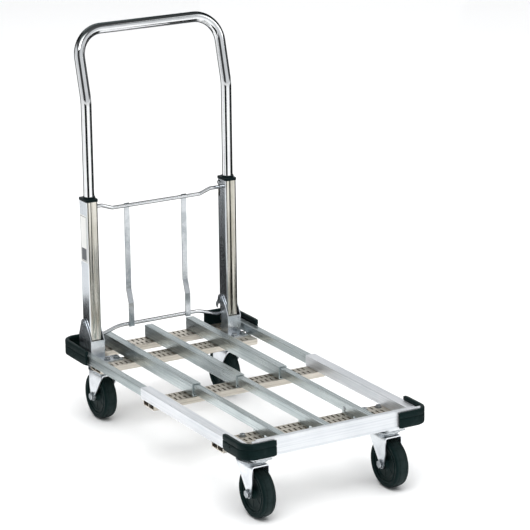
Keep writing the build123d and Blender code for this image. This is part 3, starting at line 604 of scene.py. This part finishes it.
for place, (x, y, outward) in CASTERS.items():
    wheel_centre = (x, y + outward * TRAIL, WHEEL_RADIUS)
    add_piece(
        f"tyre_{place}", tyre_mesh(), tyre_rubber, f"wheel_{place}", [f"wheel_tyre_{place}"],
        wheel_centre, sharp=40.0,
    )
    add_piece(
        f"hub_{place}", hub_mesh(), hub_plastic, f"wheel_{place}", [f"wheel_hub_{place}"],
        wheel_centre, sharp=35.0,
    )
    add_piece(
        f"fork_{place}", fork_mesh(outward), zinc, f"swivel_{place}", [f"caster_fork_{place}"],
        (x, y, 0.0), sharp=40.0,
    )


# ---- Corner bumpers ----
def bumper_route(is_front):
    """Points along a right-hand bumper's outer face, each with the way inward and the share of its turn."""
    end_y = -DECK_HALF_LENGTH if is_front else DECK_HALF_LENGTH
    inward = 1.0 if is_front else -1.0
    reach = FRONT_BUMPER_REACH if is_front else REAR_BUMPER_REACH
    centre = Vector((DECK_HALF_WIDTH - CORNER_RADIUS, end_y + inward * CORNER_RADIUS))
    end_steps, turn_steps, side_steps = 8, 16, 8
    end_run = centre.x - BUMPER_START_X
    side_run = reach - CORNER_RADIUS
    route = []
    for step in range(end_steps):
        point = Vector((BUMPER_START_X + end_run * step / end_steps, end_y))
        route.append((point, Vector((0.0, inward)), 0.0))
    for step in range(turn_steps + 1):
        angle = math.pi / 2 * step / turn_steps
        out = Vector((math.sin(angle), -inward * math.cos(angle)))
        route.append((centre + out * CORNER_RADIUS, -out, step / turn_steps))
    for step in range(1, side_steps + 1):
        point = Vector((DECK_HALF_WIDTH, centre.y + inward * side_run * step / side_steps))
        route.append((point, Vector((-1.0, 0.0)), 1.0))
    return route


def bumper_section(wall, ledge, shrink):
    """A bumper's section as (depth, height) points: wall, groove, rolled lip and inner ledge.

    Shrink draws it in, for the rounded ends.
    """
    return [
        (wall - shrink, BUMPER_BOTTOM + shrink),
        (1.6 + shrink, BUMPER_BOTTOM + shrink),
        (0.5 + shrink, 137.0 + shrink),
        (shrink, 139.0),
        (shrink, 153.6),
        (0.35 + shrink, 154.6),
        (1.25 + shrink, 155.2),
        (1.25 + shrink, 156.2),
        (0.35 + shrink, 156.8),
        (shrink, 157.8),
        (shrink, 165.0),
        (0.6 + shrink, 166.9),
        (2.2 + shrink * 0.5, 167.9 - shrink),
        (ledge - 2.0, BUMPER_TOP - shrink),
        (ledge - 0.5, 167.2 - shrink),
        (ledge - shrink, 165.4),
        (ledge - shrink, 160.4),
        (ledge - 0.9 - shrink, 159.6),
        (wall - shrink, 159.4),
    ]


def bumper_mesh(is_front):
    """A right-hand corner guard swept round its corner; a front one is thinner across the end rail."""
    route = bumper_route(is_front)
    rings = []
    for index, (point, normal, share) in enumerate(route):
        wall = 4.1 if is_front else 7.0
        ledge = 5.5 + 3.5 * min(1.0, share * 2) if is_front else 9.0
        shrink = 1.0 if index in (0, len(route) - 1) else 0.0
        section = bumper_section(wall, ledge, shrink)
        rings.append([(*(point + normal * depth), height) for depth, height in section])
    bm = bmesh.new()
    skin_rings(bm, rings)
    return bm


for end in ("front", "rear"):
    for side in SIDES:
        mesh = bumper_mesh(end == "front")
        if side == "left":
            mirrored(mesh)
        add_piece(
            f"bumper_{end}_{side}", mesh, black_rubber, f"{end}_frame",
            [f"{end}_bumper_{side}"], sharp=50.0,
        )


# ---- Handle ----
def handle_mesh():
    """The bent chrome tube, from the lower end of one leg to the other."""
    lean_radius, corner_radius = 90.0, 55.0
    top_y = LEG_Y + (HANDLE_HEIGHT - BEND_HEIGHT) * math.tan(HANDLE_LEAN)
    leg = [(LEG_Y, LEG_BOTTOM), (LEG_Y, BEND_HEIGHT), (top_y, HANDLE_HEIGHT)]
    corners = [(-LEG_X, y, z) for y, z in leg] + [(LEG_X, y, z) for y, z in reversed(leg)]
    radii = [lean_radius, corner_radius, corner_radius, lean_radius]
    bm = bmesh.new()
    tube(bm, rounded_route(corners, radii, arc_steps=18), HANDLE_RADIUS, facets=48, bore=HANDLE_BORE)
    return bm


add_piece("handle_bar", handle_mesh(), chrome, "handle", ["handle_tube"])


# ---- Release frame ----
def rod_mesh(half, radii):
    """A cranked rod, given by its left half as (x, z) corners."""
    left = [(x, ROD_Y, z) for x, z in half]
    right = [(-x, ROD_Y, z) for x, z in reversed(half)]
    bm = bmesh.new()
    tube(bm, rounded_route(left + right, radii + radii[::-1], arc_steps=10), ROD_RADIUS, facets=24)
    return bm


def add_rod(name, half, radii):
    """One rod of the release frame."""
    mesh = rod_mesh(half, radii)
    add_piece(f"{name}_rod", mesh, rod_steel, "release_frame", [f"release_rod_{name}"])


add_rod("upper", [(-ROD_HALF_LENGTH, 453.0), (-127.0, 453.0), (-103.0, 444.5)], [14.0, 14.0])
add_rod("lower", [(-ROD_HALF_LENGTH, 175.0), (-138.0, 175.0), (-95.0, 188.5)], [40.0, 80.0])


# ---- CAD nodes that keep their shape ----
def dress(nodes, material, edge, flatten=True):
    """Give CAD nodes a material and soften their sharp edges, merging flat facets first if told to."""
    for name in nodes:
        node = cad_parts[name]
        for slot in node.material_slots:
            slot.material = material
        weld = node.modifiers.new("weld", "WELD")
        weld.merge_threshold = 0.002 * MM
        if flatten:
            flat = node.modifiers.new("flat", "DECIMATE")
            flat.decimate_type = "DISSOLVE"
            flat.angle_limit = math.radians(0.6)
        bevel = node.modifiers.new("edges", "BEVEL")
        bevel.width = edge * MM
        bevel.segments = 2
        bevel.limit_method = "ANGLE"
        bevel.angle_limit = math.radians(40)
        bevel.miter_outer = "MITER_ARC"
        normals = node.modifiers.new("normals", "WEIGHTED_NORMAL")
        normals.keep_sharp = True


dress([f"front_side_rail_{side}" for side in SIDES], bright, 0.3)
dress(["front_end_rail", "front_corner_blocks"], bright_x, 0.4)
dress([f"rear_side_rail_{side}" for side in SIDES] + ["rail_spacers"], satin, 0.3)
dress([f"deck_bar_{bar}" for bar in BARS], satin, 0.3)
dress([f"extension_bar_{bar}" for bar in BARS] + ["extension_bar_feet"], satin, 0.3)
dress([f"{name}_cross_member" for name in ("front", "mid", "hinge", "rear")], warm, 0.2, flatten=False)
dress([f"post_{side}" for side in SIDES], polished, 0.3)
dress([f"post_cap_{side}" for side in SIDES], black_plastic, 0.3)
dress(["bar_glides", "handle_glides", "pivot_bushes"], black_plastic, 0.3)
dress([f"hinge_bracket_{side}" for side in SIDES], bracket_zinc, 0.4)
dress(["front_caster_plates", "rear_caster_plates"], dull_zinc, 0.4)
dress([f"caster_axle_{place}" for place in CASTERS], dull_zinc, 0.3)
dress(["rear_fasteners", "front_fasteners", "pivot_pins"], dull_zinc, 0.2)
dress([f"release_strap_{side}" for side in SIDES], plated, 0.5)
dress([f"handle_lock_button_{side}" for side in SIDES], chrome, 0.3)
dress(["post_label"], blank_label, 0.1)


# ---- Floor, light and camera ----
def floor():
    """A plain pale floor, a hair below the wheels."""
    bpy.ops.mesh.primitive_plane_add(size=60.0, location=(0.0, 0.0, -0.2 * MM))
    plane = bpy.context.object
    plane.name = "floor"
    material, tree, shader = new_material("pale_floor")
    shader.inputs["Base Color"].default_value = (0.98, 0.98, 0.98, 1.0)
    shader.inputs["Roughness"].default_value = 0.75
    plane.data.materials.append(material)


def area_light(name, place, target, size, power):
    """A large soft light aimed at a point."""
    light = bpy.data.lights.new(name, "AREA")
    light.shape = "RECTANGLE"
    light.size, light.size_y = size
    light.energy = power
    lamp = bpy.data.objects.new(name, light)
    bpy.context.scene.collection.objects.link(lamp)
    lamp.location = place
    lamp.rotation_euler = (Vector(target) - Vector(place)).to_track_quat("-Z", "Y").to_euler()


def overhead_sun(power, spread):
    """Broad even light from above for the floor and the other dull surfaces.

    Glossy rays don't meet it, so it leaves the metals as they are.
    """
    tilt_along, tilt_across = math.radians(14.0), math.radians(-10.0)
    light = bpy.data.lights.new("overhead", "SUN")
    light.energy = power
    light.angle = math.radians(spread)
    lamp = bpy.data.objects.new("overhead", light)
    lamp.visible_glossy = False
    bpy.context.scene.collection.objects.link(lamp)
    lamp.rotation_euler = (tilt_along, tilt_across, 0.0)


def flag(name, start, stop, near, far, tone):
    """A dark card on the floor that only mirror-like rays meet.

    It is a ring sector between two bearings, in degrees, and two radii, in metres.
    """
    steps = 24
    height = 0.2 * MM
    bm = bmesh.new()
    rows = []
    for step in range(steps + 1):
        bearing = math.radians(start + (stop - start) * step / steps)
        across, along = math.cos(bearing), math.sin(bearing)
        rows.append([bm.verts.new((radius * across, radius * along, height)) for radius in (near, far)])
    for first, second in zip(rows, rows[1:]):
        bm.faces.new((first[0], first[1], second[1], second[0]))
    mesh = bpy.data.meshes.new(name)
    bm.to_mesh(mesh)
    bm.free()
    card = bpy.data.objects.new(name, mesh)
    bpy.context.scene.collection.objects.link(card)
    material, tree, shader = new_material(name)
    shader.inputs["Base Color"].default_value = (tone, tone, tone, 1.0)
    shader.inputs["Roughness"].default_value = 1.0
    shader.inputs["Specular IOR Level"].default_value = 0.0
    mesh.materials.append(material)
    card.visible_camera = False
    card.visible_diffuse = False
    card.visible_shadow = False


def band(tree, value, start, stop, blur):
    """1 between two values and 0 outside them, with a soft step, twice the blur wide, at each."""
    rising = remap(tree, value, 0.0, 1.0, start - blur, start + blur, smooth=True)
    falling = remap(tree, value, 1.0, 0.0, stop - blur, stop + blur, smooth=True)
    return arithmetic(tree, "MULTIPLY", rising, falling)


# Start and stop bearings of the dark flats that stand round the object, in degrees from +X.
FLATS = ((-160.0, -112.0), (-40.0, 30.0), (90.0, 128.0))


def studio_world():
    """A pale surround with dark flats standing at a few bearings, and a dim band half way up."""
    flat_blur = math.radians(4.0)
    flat_depth = 0.93
    low_strength, dim_strength, high_strength = 0.80, 0.14, 0.42
    world = bpy.data.worlds.new("studio")
    bpy.context.scene.world = world
    world.use_nodes = True
    tree = world.node_tree
    background = tree.nodes["Background"]
    coords = tree.nodes.new("ShaderNodeTexCoord")
    split = tree.nodes.new("ShaderNodeSeparateXYZ")
    tree.links.new(coords.outputs["Generated"], split.inputs["Vector"])
    low = remap(tree, split.outputs["Z"], low_strength, dim_strength, 0.34, 0.58, smooth=True)
    high = remap(tree, split.outputs["Z"], 0.0, high_strength, 0.62, 0.86, smooth=True)
    bearing = arithmetic(tree, "ARCTAN2", split.outputs["Y"], split.outputs["X"])
    shade = None
    for start, stop in FLATS:
        dark = band(tree, bearing, math.radians(start), math.radians(stop), flat_blur)
        shade = dark if shade is None else arithmetic(tree, "MAXIMUM", shade, dark)
    kept = arithmetic(tree, "SUBTRACT", 1.0, scaled(tree, shade, flat_depth))
    background.inputs["Color"].default_value = (0.96, 0.98, 1.0, 1.0)
    strength = arithmetic(tree, "ADD", arithmetic(tree, "MULTIPLY", low, kept), high)
    tree.links.new(strength, background.inputs["Strength"])


CAMERA_PLACE = (-2.4207, -4.2835, 1.8450)
CAMERA_AZIMUTH = math.radians(-30.14)
CAMERA_ELEVATION = math.radians(16.5)
CAMERA_ROLL = math.radians(-0.65)
CAMERA_LENS = 176.2
CAMERA_SENSOR = 36.0


def place_camera():
    """A long lens at the object's main viewing angle."""
    right = Vector((math.cos(CAMERA_AZIMUTH), math.sin(CAMERA_AZIMUTH), 0.0))
    level = math.cos(CAMERA_ELEVATION)
    back = Vector(
        (math.sin(CAMERA_AZIMUTH) * level, -math.cos(CAMERA_AZIMUTH) * level, math.sin(CAMERA_ELEVATION))
    )
    up = back.cross(right)
    rolled_right = math.cos(CAMERA_ROLL) * right + math.sin(CAMERA_ROLL) * up
    rolled_up = -math.sin(CAMERA_ROLL) * right + math.cos(CAMERA_ROLL) * up
    turn = Matrix((rolled_right, rolled_up, back)).transposed().to_4x4()
    data = bpy.data.cameras.new("camera")
    data.sensor_width = CAMERA_SENSOR
    data.lens = CAMERA_LENS
    data.clip_start = 0.1
    data.clip_end = 100.0
    camera = bpy.data.objects.new("camera", data)
    bpy.context.scene.collection.objects.link(camera)
    camera.matrix_world = Matrix.Translation(CAMERA_PLACE) @ turn
    bpy.context.scene.camera = camera


floor()
studio_world()
overhead_sun(2.0, 60.0)
area_light("key", (-1.6, -2.0, 3.6), (0.0, 0.0, 0.1), (2.4, 2.4), 56.0)
area_light("fill", (2.6, -1.6, 2.6), (0.0, 0.0, 0.1), (1.6, 2.4), 24.0)
area_light("back", (0.4, 2.8, 3.2), (0.0, 0.1, 0.2), (2.6, 1.6), 32.0)
flag("flag_camera_side", -160.0, -112.0, 0.60, 6.0, 0.015)
flag("flag_right", -40.0, 50.0, 0.50, 6.0, 0.02)
flag("flag_back", 62.0, 132.0, 0.68, 1.22, 0.04)
flag("flag_far_back", 62.0, 112.0, 1.22, 6.0, 0.03)
place_camera()

bpy.context.scene.view_settings.view_transform = "Standard"
